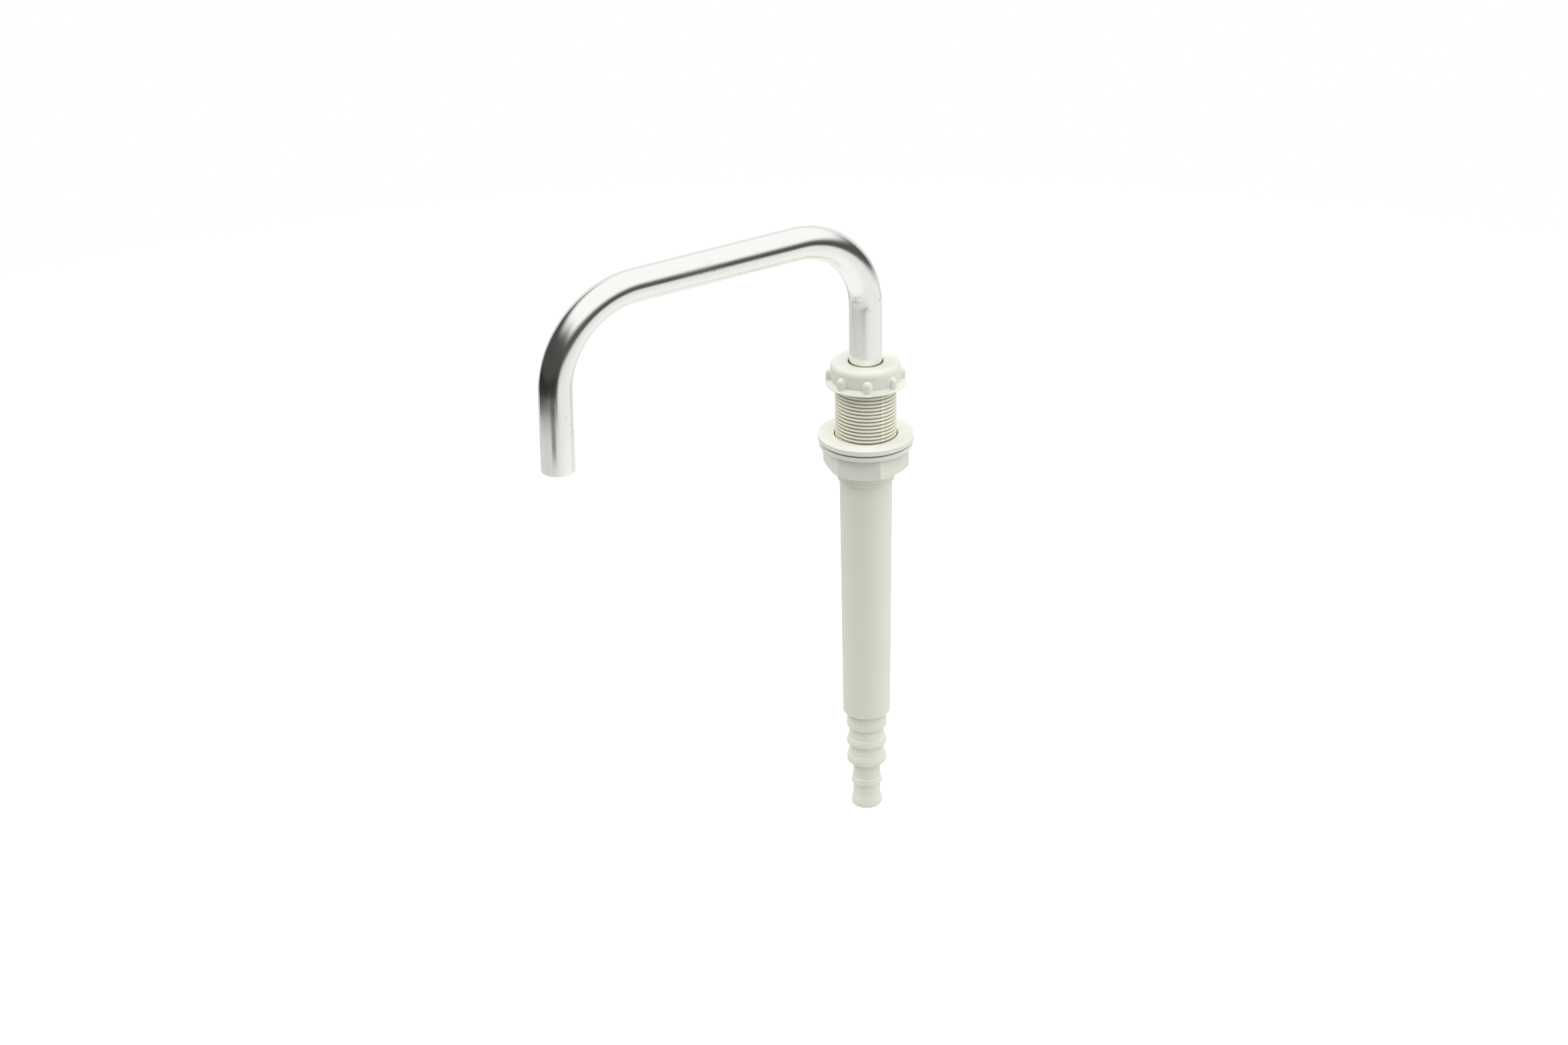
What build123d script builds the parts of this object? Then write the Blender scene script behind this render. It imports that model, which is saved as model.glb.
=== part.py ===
"""Telescopic galley faucet, in millimetres.

The origin is the centre of the deck hole, level with the top of the deck. +Z is up and the
spout points along -Y. The casing, threaded sleeve, gland bush and gland seal stand still in
the deck. The spout slides and turns in them, the cap nut and the flange nut turn on the
sleeve's thread, and the washer travels with the flange nut.
"""
import os
from build123d import *

# Spout: a plain aluminium tube bent twice in one plane
tube_diameter = 12.7
tube_wall = 1.2
spout_reach = 136.8
arm_height = 63.7
column_bend = 32.0
outlet_bend = 34.5
outlet_drop = 65.2
cut_edge = 0.25

# Thread of the shank, drawn at its crest; the helix itself is left off
thread_diameter = 24.0
thread_depth = 0.92
thread_play = 0.05
lead_in = 0.5

# Room for the deck between the cap's rim and the washer
deck_grip = 21.4

# Cap nut
cap_height = 8.8
cap_top_wall = 2.8
cap_side_wall = 1.6
cap_shoulder = 2.3
cap_hole_gap = 0.55
cap_hole_edge = 0.4
rim_width = 2.1
rim_lip = 1.3
rim_bevel = 0.5
rim_edge = 0.2
rib_count = 8
rib_width = 3.3
rib_foot = 0.4
rib_top = 5.5
rib_inset = 0.3
rib_round = 1.45
first_rib_angle = 13.3

# Gland inside the sleeve
gland_depth = 10.0
gland_bush_length = 5.0
seal_section = 2.4
seal_squeeze_gap = 0.03
follower_flange = 1.3
follower_flange_width = 2.0
follower_gap = 0.3
slide_play = 0.05
bush_play = 0.05

# Threaded sleeve
sleeve_below_nut = 3.35
plain_end = 4.25
water_gap = 1.25
spigot_wall = 1.65
spigot_length = 18.8
bond_gap = 0.02

# Washer under the deck
washer_rim = 6.35
washer_play = 0.3
washer_thickness = 2.2
washer_edge = 0.35

# Flange nut
flange_rim = 6.15
flange_thickness = 2.5
flange_edge = 0.3
bearing_width = 4.35
bearing_rise = 0.5
hex_across_flats = 29.5
hex_height = 9.4
hex_corner_angle = 45.5
hex_corner_chamfer = 1.3
hex_chamfer_run = 2.25

# Casing, with the draft of its mould
casing_length = 104.15
casing_top_wall = 2.7
casing_foot_wall = 1.82
casing_foot_edge = 0.4
casing_floor = 3.5

# Hose tail: a stepped tail for two sizes of hose
large_crest = 16.0
large_neck = 13.8
large_wall = 2.0
collar_top = 15.4
collar_length = 6.65
barb_pitch = 7.65
large_tail_length = 23.1
small_crest = 12.3
small_neck = 10.9
small_wall = 1.75
barb_four_drop = 9.3
small_tail_length = 19.8
barb_land = 1.1
barb_rise = 1.6
barb_flare = 2.4
flare_lift = 0.35
barb_shoulder = 0.3
small_land = 0.75
small_rise = 1.9
small_shoulder = 0.43
end_land = 1.5
end_flare = 2.6
barb_edge = 0.25
barb_root = 0.5
lead_round = 1.45
throat_rise = 1.5
throat_slope = 2.0

# Guide bush and snap ring at the lower end of the tube
tube_end_room = 24.5
ring_setback = 2.6
ring_wire = 1.0
ring_groove_depth = 0.45
ring_groove_play = 0.05
ring_gap_angle = 40.0
guide_length = 12.0
guide_play = 0.1
guide_edge = 0.5
flute_count = 4
flute_width = 3.0
flute_depth = 0.5

# Joint travel
cap_pitch = 1.5
cap_turns = 2.5
stop_gap = 0.3

# Radii worked out from the sizes above
tube_radius = tube_diameter / 2
tube_bore = tube_radius - tube_wall
thread_radius = thread_diameter / 2
root_radius = thread_radius - thread_depth
nut_bore = thread_radius + thread_play
sliding_bore = tube_radius + slide_play
casing_bore = tube_radius + water_gap
spigot_radius = casing_bore + spigot_wall
socket_radius = spigot_radius + bond_gap
seal_radius = seal_section / 2
gland_radius = sliding_bore + seal_section + 2 * seal_squeeze_gap
gland_fit = gland_radius - bush_play
cap_radius = nut_bore + cap_side_wall
rim_radius = cap_radius + rim_width
cap_hole = tube_radius + cap_hole_gap
washer_hole = thread_radius + washer_play
washer_radius = washer_hole + washer_rim
flange_radius = nut_bore + flange_rim
casing_top_radius = casing_bore + casing_top_wall
casing_foot_radius = casing_bore + casing_foot_wall

# Heights worked out from the sizes above, with the deck's top at zero
cap_ceiling = cap_height - cap_top_wall
flange_under = cap_ceiling - follower_flange
sleeve_top = flange_under - follower_gap
gland_floor = sleeve_top - gland_depth
gland_bush_top = gland_floor + gland_bush_length
seal_height = gland_bush_top + seal_squeeze_gap + seal_radius
follower_nose = seal_height + seal_radius + seal_squeeze_gap
washer_top = -deck_grip
nut_top = washer_top - washer_thickness
flange_bottom = nut_top - flange_thickness
flange_top = nut_top - bearing_rise
nut_bottom = flange_bottom - hex_height
sleeve_bottom = nut_bottom - sleeve_below_nut
thread_end = sleeve_bottom + plain_end
spigot_top = sleeve_bottom + spigot_length
casing_foot = sleeve_bottom - casing_length
bore_floor = casing_foot + casing_floor
collar_bottom = casing_foot - collar_length
barb_two_bottom = collar_bottom - barb_pitch
large_tail_bottom = casing_foot - large_tail_length
barb_four_bottom = large_tail_bottom - barb_four_drop
tail_bottom = large_tail_bottom - small_tail_length
tube_end = bore_floor + tube_end_room
outlet_end = arm_height - outlet_drop
ring_height = tube_end + ring_setback
guide_bottom = ring_height + ring_wire / 2 + ring_groove_play
guide_top = guide_bottom + guide_length

# How far the moving pieces travel
cap_lift = cap_pitch * cap_turns
bend_start = arm_height - column_bend
lift_up = gland_floor - stop_gap - guide_top
lift_down = bend_start - cap_height - cap_lift - stop_gap


def circles(part, radius, height):
    """The round edges of a part that have this radius and lie at this height."""
    rings = part.edges().filter_by(GeomType.CIRCLE)
    return rings.filter_by(
        lambda ring: abs(ring.radius - radius) < 1e-4 and abs(ring.arc_center.Z - height) < 1e-4
    )


def corners(section, radius, height):
    """The corners of a revolved section that lie at this radius and height."""
    return section.vertices().filter_by(
        lambda corner: abs(corner.X - radius) < 1e-4 and abs(corner.Y - height) < 1e-4
    )


def write(part, name):
    """Label a finished piece and write it as its own file."""
    part.label = name
    export_step(part, f"parts/{name}.step")


os.makedirs("parts", exist_ok=True)

# Spout tube: up out of the casing, along the arm and down to the outlet
with BuildPart() as spout_tube:
    with BuildLine(Plane.YZ) as spout_route:
        FilletPolyline(
            (0, tube_end),
            (0, arm_height),
            (-spout_reach, arm_height),
            (-spout_reach, outlet_end),
            radius=[column_bend, outlet_bend],
        )
    with BuildSketch(Plane.XY.offset(tube_end)):
        Circle(tube_radius)
        Circle(tube_bore, mode=Mode.SUBTRACT)
    sweep(path=spout_route.wires()[0])
    chamfer(circles(spout_tube, tube_radius, tube_end), cut_edge)
    fillet(circles(spout_tube, tube_radius, outlet_end), cut_edge)
    # Groove for the snap ring
    with BuildSketch(Plane.XZ):
        with Locations((tube_radius, ring_height)):
            Rectangle(2 * ring_groove_depth, ring_wire + 2 * ring_groove_play)
    revolve(axis=Axis.Z, mode=Mode.SUBTRACT)
write(spout_tube.part, "spout_tube")

# Snap ring: a round spring wire, open at one side
with BuildPart() as snap_ring:
    with BuildSketch(Plane.XZ):
        with Locations((tube_radius - ring_groove_depth + ring_wire / 2, ring_height)):
            Circle(ring_wire / 2)
    revolve(axis=Axis.Z, revolution_arc=360 - ring_gap_angle)
write(snap_ring.part, "snap_ring")

# Guide bush: runs in the casing's bore, fluted so that water passes it
guide_radius = casing_bore - guide_play
with BuildPart() as guide_bush:
    with BuildSketch(Plane.XY.offset(guide_bottom)):
        Circle(guide_radius)
        Circle(sliding_bore, mode=Mode.SUBTRACT)
    extrude(amount=guide_length)
    chamfer(circles(guide_bush, guide_radius, guide_top), guide_edge)
    chamfer(circles(guide_bush, guide_radius, guide_bottom), guide_edge)
    with BuildSketch(Plane.XY.offset(guide_bottom)):
        with PolarLocations(guide_radius, flute_count):
            Rectangle(2 * flute_depth, flute_width)
    extrude(amount=guide_length, mode=Mode.SUBTRACT)
write(guide_bush.part, "guide_bush")

# Cap nut: the rounded grip ribs first, then the shell that carries them
rib_root = cap_radius - cap_side_wall / 2
rib_face = rim_radius - rib_inset
with BuildPart() as cap_nut:
    for rib in range(rib_count):
        rib_angle = first_rib_angle + rib * 360 / rib_count
        with BuildSketch(Plane.YZ.rotated((0, 0, rib_angle)).offset(rib_root)):
            with Locations((0, (rib_foot + rib_top) / 2)):
                SlotOverall(rib_top - rib_foot, rib_width, rotation=90)
        extrude(amount=rib_face - rib_root)
    rib_fronts = cap_nut.faces().filter_by(GeomType.PLANE).filter_by(
        lambda face: abs(Vector(face.center().X, face.center().Y, 0).length - rib_face) < 1e-3
    )
    fillet(rib_fronts.edges(), rib_round)
    with BuildSketch(Plane.XZ) as cap_section:
        with BuildLine():
            Polyline(
                (cap_hole, cap_height),
                (cap_radius, cap_height),
                (cap_radius, rim_lip + rim_bevel),
                (rim_radius, rim_lip),
                (rim_radius, 0),
                (nut_bore, 0),
                (nut_bore, cap_ceiling),
                (cap_hole, cap_ceiling),
                close=True,
            )
        make_face()
        fillet(corners(cap_section, cap_radius, cap_height), cap_shoulder)
        fillet(corners(cap_section, cap_hole, cap_height), cap_hole_edge)
        fillet(corners(cap_section, rim_radius, 0), rim_edge)
        chamfer(corners(cap_section, nut_bore, 0), rim_edge)
    revolve(axis=Axis.Z)
    # Clear the rib roots out of the bore
    with BuildSketch(Plane.XY):
        Circle(nut_bore)
    extrude(amount=cap_ceiling, mode=Mode.SUBTRACT)
write(cap_nut.part, "cap_nut")

# Thrust ring: its flange bears on the cap's ceiling and its nose presses on the seal
with BuildPart() as thrust_ring:
    with BuildSketch(Plane.XZ):
        with BuildLine():
            Polyline(
                (sliding_bore, follower_nose),
                (gland_fit, follower_nose),
                (gland_fit, flange_under),
                (gland_radius + follower_flange_width, flange_under),
                (gland_radius + follower_flange_width, cap_ceiling),
                (sliding_bore, cap_ceiling),
                close=True,
            )
        make_face()
    revolve(axis=Axis.Z)
write(thrust_ring.part, "thrust_ring")

# Gland seal: an O-ring, drawn as it sits when it is squeezed
with BuildPart() as gland_seal:
    with BuildSketch(Plane.XZ):
        with Locations((sliding_bore + seal_squeeze_gap + seal_radius, seal_height)):
            Circle(seal_radius)
    revolve(axis=Axis.Z)
write(gland_seal.part, "gland_seal")

# Gland bush: guides the tube, and its underside stops the guide bush
with BuildPart() as gland_bush:
    with BuildSketch(Plane.XY.offset(gland_floor)):
        Circle(gland_fit)
        Circle(sliding_bore, mode=Mode.SUBTRACT)
    extrude(amount=gland_bush_length)
    chamfer(circles(gland_bush, gland_fit, gland_floor), lead_in)
write(gland_bush.part, "gland_bush")

# Threaded sleeve: gland pocket at the top, waterway, and a socket for the casing below
with BuildPart() as threaded_sleeve:
    with BuildSketch(Plane.XZ):
        with BuildLine():
            Polyline(
                (gland_radius, sleeve_top),
                (thread_radius - lead_in, sleeve_top),
                (thread_radius, sleeve_top - lead_in),
                (thread_radius, thread_end + thread_depth),
                (root_radius, thread_end),
                (root_radius, sleeve_bottom),
                (socket_radius, sleeve_bottom),
                (socket_radius, spigot_top),
                (casing_bore, spigot_top),
                (casing_bore, gland_floor),
                (gland_radius, gland_floor),
                close=True,
            )
        make_face()
    revolve(axis=Axis.Z)
write(threaded_sleeve.part, "threaded_sleeve")

# Washer that bears on the underside of the deck
with BuildPart() as deck_washer:
    with BuildSketch(Plane.XY.offset(washer_top)):
        Circle(washer_radius)
        Circle(washer_hole, mode=Mode.SUBTRACT)
    extrude(amount=-washer_thickness)
    fillet(circles(deck_washer, washer_radius, washer_top), washer_edge)
    fillet(circles(deck_washer, washer_radius, nut_top), washer_edge)
write(deck_washer.part, "deck_washer")

# Flange nut: a hexagon with its lower corners turned off, under a round flange that
# carries a narrower raised ring to bear on the washer
hex_corner = hex_across_flats / 3 ** 0.5
with BuildPart() as flange_nut:
    with BuildSketch(Plane.XY.offset(nut_bottom)):
        RegularPolygon(hex_corner, 6, rotation=hex_corner_angle)
    extrude(amount=hex_height)
    with BuildSketch(Plane.XZ):
        with BuildLine():
            Polyline(
                (0, nut_bottom),
                (hex_corner - hex_chamfer_run, nut_bottom),
                (hex_corner, nut_bottom + hex_corner_chamfer),
                (hex_corner, flange_bottom),
                (0, flange_bottom),
                close=True,
            )
        make_face()
    revolve(axis=Axis.Z, mode=Mode.INTERSECT)
    with BuildSketch(Plane.XY.offset(flange_bottom)):
        Circle(flange_radius)
    extrude(amount=flange_thickness - bearing_rise)
    fillet(circles(flange_nut, flange_radius, flange_top), flange_edge)
    fillet(circles(flange_nut, flange_radius, flange_bottom), flange_edge)
    with BuildSketch(Plane.XY.offset(flange_top)):
        Circle(nut_bore + bearing_width)
    extrude(amount=bearing_rise)
    with BuildSketch(Plane.XY.offset(nut_bottom)):
        Circle(nut_bore)
    extrude(amount=hex_height + flange_thickness, mode=Mode.SUBTRACT)
    chamfer(circles(flange_nut, nut_bore, nut_bottom), lead_in)
write(flange_nut.part, "flange_nut")

# Casing: a spigot for the sleeve, the long drafted tube and the stepped hose tail
large_bore = large_neck / 2 - large_wall
small_bore = small_neck / 2 - small_wall
throat_top = large_tail_bottom + throat_rise + throat_slope
flare_radius = large_neck / 2 + flare_lift


def barb(bottom, neck, *outline):
    """A ring with this outline of (radius, height above its bottom), rooted in the neck."""
    points = [(radius, bottom + height) for radius, height in outline]
    top = points[-1][1]
    with BuildSketch(Plane.XZ) as section:
        with BuildLine():
            Polyline((neck - barb_root, bottom), *points, (neck - barb_root, top), close=True)
        make_face()
    return section.sketch


def large_barb(bottom, land):
    """A barb for the larger hose: a flared neck, a small shoulder and a crest."""
    return barb(
        bottom,
        large_neck / 2,
        (large_crest / 2, 0),
        (large_crest / 2, land),
        (flare_radius + barb_shoulder, land + barb_rise),
        (flare_radius, land + barb_rise),
        (large_neck / 2, land + barb_rise + barb_flare),
    )


collar = barb(
    collar_bottom,
    large_neck / 2,
    (large_crest / 2, 0),
    (large_crest / 2, barb_land),
    (collar_top / 2, collar_length),
)
small_barb = barb(
    barb_four_bottom,
    small_neck / 2,
    (small_crest / 2, 0),
    (small_crest / 2, small_land),
    (small_neck / 2 + small_shoulder, small_land + small_rise),
    (small_neck / 2, small_land + small_rise),
)
end_barb = barb(
    tail_bottom,
    small_neck / 2,
    (small_crest / 2, 0),
    (small_crest / 2, lead_round + end_land),
    (small_neck / 2, lead_round + end_land + end_flare),
)
with BuildPart() as casing:
    with BuildSketch(Plane.XZ):
        with BuildLine():
            Polyline(
                (casing_bore, spigot_top),
                (spigot_radius, spigot_top),
                (spigot_radius, sleeve_bottom),
                (casing_top_radius, sleeve_bottom),
                (casing_foot_radius, casing_foot),
                (large_neck / 2, casing_foot),
                (large_neck / 2, large_tail_bottom),
                (small_neck / 2, large_tail_bottom),
                (small_neck / 2, tail_bottom),
                (small_bore, tail_bottom),
                (small_bore, large_tail_bottom + throat_rise),
                (large_bore, throat_top),
                (large_bore, bore_floor),
                (casing_bore, bore_floor),
                close=True,
            )
        make_face()
    revolve(axis=Axis.Z)
    fillet(circles(casing, casing_foot_radius, casing_foot), casing_foot_edge)
    revolve(collar, axis=Axis.Z)
    revolve(large_barb(barb_two_bottom, barb_land), axis=Axis.Z)
    revolve(large_barb(large_tail_bottom, barb_land + lead_round), axis=Axis.Z)
    revolve(small_barb, axis=Axis.Z)
    revolve(end_barb, axis=Axis.Z)
    for height in (collar_bottom, barb_two_bottom):
        fillet(circles(casing, large_crest / 2, height), barb_edge)
    fillet(circles(casing, small_crest / 2, barb_four_bottom), barb_edge)
    fillet(circles(casing, large_crest / 2, large_tail_bottom), lead_round)
    fillet(circles(casing, small_crest / 2, tail_bottom), lead_round)
write(casing.part, "casing")

print(f"spout travel: up {lift_up:.2f}, down {lift_down:.2f}")
print(f"tube route: {spout_route.wires()[0].length:.1f} long, lower end at {tube_end:.2f}")
print(f"cap lifts {cap_lift:.2f}; heights: deck 0, washer {washer_top:.2f}, nut {nut_top:.2f} to {nut_bottom:.2f}")
print(f"thread from {thread_end:.2f} to {sleeve_top:.2f}; sleeve ends at {sleeve_bottom:.2f}")
print(f"casing foot {casing_foot:.2f}, bore floor {bore_floor:.2f}, tail end {tail_bottom:.2f}")
print(f"guide bush {guide_bottom:.2f} to {guide_top:.2f}, gland floor {gland_floor:.2f}")
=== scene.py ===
# %% [markdown]
# # A telescopic galley faucet, dressed for the camera
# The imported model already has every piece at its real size, in metres, in one frame: the origin
# is the middle of the deck hole, +Z is up, and the spout points along -Y. This script swaps the
# plain solids that show for smoother and fuller meshes, gives every surface its finish, and
# sets up the studio. Sizes are written in millimetres, as on a drawing, and turned into metres
# in one place.

# %% Load the frame
from math import atan, cos, pi, radians, sin, sqrt, tan, tau

import bmesh
import bpy
from mathutils import Matrix, Vector


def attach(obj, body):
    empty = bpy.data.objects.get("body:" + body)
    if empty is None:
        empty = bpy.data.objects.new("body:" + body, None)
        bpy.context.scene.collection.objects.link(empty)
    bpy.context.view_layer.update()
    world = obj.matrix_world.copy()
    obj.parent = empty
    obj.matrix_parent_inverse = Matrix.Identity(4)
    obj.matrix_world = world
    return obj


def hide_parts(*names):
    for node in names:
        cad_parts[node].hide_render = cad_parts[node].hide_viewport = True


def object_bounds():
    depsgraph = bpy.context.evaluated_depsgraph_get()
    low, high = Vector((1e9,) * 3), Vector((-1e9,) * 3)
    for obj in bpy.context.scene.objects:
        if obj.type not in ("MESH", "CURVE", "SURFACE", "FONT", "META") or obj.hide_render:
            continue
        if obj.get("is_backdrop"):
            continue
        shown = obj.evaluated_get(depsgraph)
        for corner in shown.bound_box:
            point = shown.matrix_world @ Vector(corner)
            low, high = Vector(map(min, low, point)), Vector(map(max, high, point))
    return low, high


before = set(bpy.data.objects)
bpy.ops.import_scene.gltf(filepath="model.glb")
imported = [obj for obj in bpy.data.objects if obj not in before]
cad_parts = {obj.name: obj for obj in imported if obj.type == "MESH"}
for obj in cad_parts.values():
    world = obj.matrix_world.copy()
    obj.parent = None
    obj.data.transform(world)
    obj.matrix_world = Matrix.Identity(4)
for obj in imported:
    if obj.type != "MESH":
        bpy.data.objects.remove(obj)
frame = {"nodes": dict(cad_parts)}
cad_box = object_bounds()
MM = 0.001
scene = bpy.context.scene
print("nodes:", ", ".join(frame["nodes"]))

# %% [markdown]
# ## Helpers for every node tree
# Shaders and Geometry Nodes are both trees of nodes. One helper adds a node, sets its options by
# name and fills its sockets, where a value is either a number to set or an output to link. The
# others do the jobs that come back most often: a sum on values or on vectors, a mix of two
# colours, a soft step, a noise, and the start of a material or of a node group.

# %% Place nodes
def place(tree, kind, inputs=None, **options):
    """Add a node of this kind, set its options, and set or link its inputs."""
    node = tree.nodes.new(kind)
    for option, value in options.items():
        setattr(node, option, value)
    for socket, value in (inputs or {}).items():
        if isinstance(value, bpy.types.NodeSocket):
            tree.links.new(value, node.inputs[socket])
        else:
            node.inputs[socket].default_value = value
    return node


def maths(tree, operation, *values):
    """The output of a Math node that works on these values."""
    return place(tree, "ShaderNodeMath", dict(enumerate(values)), operation=operation).outputs[0]


def product(tree, first, second):
    """Two values multiplied, such as a mask and its strength."""
    return maths(tree, "MULTIPLY", first, second)


def vectors(tree, operation, *values):
    """The output of a Vector Math node: a value where it measures, and a vector elsewhere."""
    node = place(tree, "ShaderNodeVectorMath", dict(enumerate(values)), operation=operation)
    measures = operation in ("LENGTH", "DISTANCE", "DOT_PRODUCT")
    return node.outputs["Value" if measures else "Vector"]


def mix_colours(tree, factor, first, second, how="MIX"):
    """The colour that a Mix node makes of two colours. Its colour sockets are the last pair."""
    sockets = {0: factor, 6: first, 7: second}
    return place(tree, "ShaderNodeMix", sockets, data_type="RGBA", blend_type=how).outputs[2]


def smooth_step(tree, value, low, high):
    """0 where the value is under low, 1 where it is over high, and a soft ramp between."""
    sockets = {"Value": value, "From Min": low, "From Max": high}
    return place(tree, "ShaderNodeMapRange", sockets, interpolation_type="SMOOTHSTEP").outputs[0]


def object_place(tree):
    """Where a point is on its own object."""
    return place(tree, "ShaderNodeTexCoord").outputs["Object"]


def noise(tree, where, scale, detail=2.0):
    """A Noise Texture's value, from 0 to 1, at this many features to the metre."""
    sockets = {"Vector": where, "Scale": scale, "Detail": detail}
    return place(tree, "ShaderNodeTexNoise", sockets).outputs[0]


print("node helpers ready for Blender", bpy.app.version_string)

# %% Start materials and node groups
def new_material(name):
    """A new material, its node tree and its Principled shader."""
    material = bpy.data.materials.new(name)
    material.use_nodes = True
    tree = material.node_tree
    return material, tree, tree.nodes["Principled BSDF"]


def open_group(name, kind, inputs, outputs):
    """Start a node group: its tree, and the named sockets that it is given and that it fills."""
    tree = bpy.data.node_groups.new(name, kind)
    for side, sockets in (("INPUT", inputs), ("OUTPUT", outputs)):
        for label, sort in sockets.items():
            tree.interface.new_socket(label, in_out=side, socket_type="NodeSocket" + sort)
    start, end = tree.nodes.new("NodeGroupInput"), tree.nodes.new("NodeGroupOutput")
    return tree, start.outputs, end.inputs


def put_out(tree, result, outputs):
    """Link each of these values to the group's output of that name."""
    for label, value in outputs.items():
        tree.links.new(value, result[label])
    print(tree.name, "group:", len(tree.nodes), "nodes")


print("materials in the packed model:", len(bpy.data.materials))

# %% [markdown]
# ## The look of moulded plastic
# Everything below the spout is injection-moulded plastic, off-white with a little yellow and
# green in it. A real moulding is never one flat colour: it has cloudy patches where the melt
# cooled unevenly, a very fine matt grain from the mould and a few specks of dust. The group
# also paints shade, tinted brown like grime, into creases, and paints light onto thin edges, as
# if light came through them. It makes these from Object coordinates and from Ambient Occlusion,
# which measures how enclosed a point is, or how thin the piece is there. Each material feeds it
# a colour and strengths of its own.

# %% Build the moulded plastic group
CLOUDS_PER_METRE = 70.0
SPECKS_PER_METRE = 900.0
SPECK_EDGE = (0.73, 0.78)
THIN_REACH = 0.5
CREASE_REACH = 1.2
ROUGHNESS_SWING = 0.18
CLOUD_HEIGHT = 0.6
# The colour of the painted shade in creases, brownish like grime.
SHADE_AND_GRIME = (0.22, 0.21, 0.14, 1)
moulded, given, result = open_group(
    "Moulded plastic",
    "ShaderNodeTree",
    {
        "Colour": "Color", "Cloudiness": "Float", "Grain per metre": "Float", "Dust": "Float",
        "Crease shade and grime": "Float", "Edge light": "Float", "Middle roughness": "Float",
    },
    {"Colour": "Color", "Roughness": "Float", "Height": "Float"},
)
where = object_place(moulded)
clouds = maths(moulded, "SUBTRACT", noise(moulded, where, CLOUDS_PER_METRE, detail=3.0), 0.5)
grain = noise(moulded, where, given["Grain per metre"], detail=4.0)
specks = smooth_step(moulded, noise(moulded, where, SPECKS_PER_METRE, detail=1.0), *SPECK_EDGE)


def enclosed(reach, inside):
    """How enclosed a point is within this many millimetres: 0 in the open, up to 1 in a crease."""
    kind, sockets = "ShaderNodeAmbientOcclusion", {"Distance": reach * MM}
    openness = place(moulded, kind, sockets, samples=8, inside=inside).outputs["AO"]
    return maths(moulded, "SUBTRACT", 1.0, openness)


shade = maths(moulded, "MULTIPLY_ADD", clouds, given["Cloudiness"], 1.0)
shade = maths(moulded, "SUBTRACT", shade, product(moulded, specks, given["Dust"]))
# Painted light: thin edges are made paler, as if light came through them.
thin_edge_light = enclosed(THIN_REACH, True)
shade = maths(moulded, "MULTIPLY_ADD", thin_edge_light, given["Edge light"], shade)
# Painted shade with a brown tint of grime: the more enclosed a point is, the darker it is made.
shade_and_grime = product(moulded, enclosed(CREASE_REACH, False), given["Crease shade and grime"])
unevenness = maths(moulded, "SUBTRACT", grain, 0.5)
roughness = given["Middle roughness"]
roughness = maths(moulded, "MULTIPLY_ADD", unevenness, ROUGHNESS_SWING, roughness)
colour = mix_colours(moulded, 1.0, given["Colour"], shade, "MULTIPLY")
colour = mix_colours(moulded, shade_and_grime, colour, SHADE_AND_GRIME, "MULTIPLY")
height = maths(moulded, "MULTIPLY_ADD", clouds, CLOUD_HEIGHT, grain)
put_out(moulded, result, {"Colour": colour, "Roughness": roughness, "Height": height})

# %% [markdown]
# ## Plastic materials
# The pieces aren't quite the same white. The nuts and the casing are a cool, greenish white, the
# threaded sleeve is creamier, as another plastic that has yellowed a little, and the washer is
# the palest. The Principled shader stays in each material, and what is the same all over, such
# as the index of refraction and the strength of the gloss, is set on its own sockets.

# %% Make the plastic materials
# The edge strength paints light onto thin edges, and the crease strength paints shade, tinted brown
# like grime, into creases.
def plastic(name, colour, cloudiness=0.05, grain=2600.0, dust=0.025, shade_and_grime=0.6, edges=0.3,
            roughness=0.42, bump=0.1):
    """A moulded plastic material of this linear colour."""
    material, tree, shader = new_material(name)
    settings = {
        "Colour": (*colour, 1.0),
        "Cloudiness": cloudiness,
        "Grain per metre": grain,
        "Dust": dust,
        "Crease shade and grime": shade_and_grime,
        "Edge light": edges,
        "Middle roughness": roughness,
    }
    look = place(tree, "ShaderNodeGroup", settings, node_tree=moulded)
    sockets = {"Strength": bump, "Distance": 0.05 * MM, "Height": look.outputs["Height"]}
    surface = place(tree, "ShaderNodeBump", sockets)
    tree.links.new(look.outputs["Colour"], shader.inputs["Base Color"])
    tree.links.new(look.outputs["Roughness"], shader.inputs["Roughness"])
    tree.links.new(surface.outputs["Normal"], shader.inputs["Normal"])
    shader.inputs["IOR"].default_value = 1.49
    shader.inputs["Specular IOR Level"].default_value = 0.45
    return material


nut_white = plastic("nut_white_plastic", (0.79, 0.80, 0.71), cloudiness=0.06, shade_and_grime=0.55,
                    edges=0.4, roughness=0.4)
washer_white = plastic("washer_white_plastic", (0.82, 0.83, 0.76), shade_and_grime=0.9, edges=0.15,
                       roughness=0.46)
casing_white = plastic("casing_white_plastic", (0.77, 0.785, 0.68), cloudiness=0.07, shade_and_grime=0.0,
                       edges=0.28, roughness=0.44)
sleeve_cream = plastic("sleeve_cream_plastic", (0.90, 0.888, 0.755), cloudiness=0.08, shade_and_grime=0.75,
                       edges=0.45, roughness=0.36)
bush_natural = plastic("bush_natural_plastic", (0.84, 0.82, 0.70), grain=3400.0, shade_and_grime=0.1,
                       roughness=0.32)
print("plastics:", ", ".join(m.name for m in bpy.data.materials if "plastic" in m.name))

# %% [markdown]
# ## The bright aluminium of the spout
# The spout is drawn aluminium tube with a bright finish. It mirrors the white room above and the
# pale floor below, with a dark band where the two meet. What makes it read as metal, and not as
# chrome, is a slight blur, faint draw lines that run along the tube round every bend, and
# patches of tiny pits and scuffs from handling. The draw lines follow the tube, so they read two
# attributes that the tube's own node tree stores: how far along it a point is, and where it is
# round the ring. A band of small nicks shows where the bending tool gripped the tube.

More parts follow.
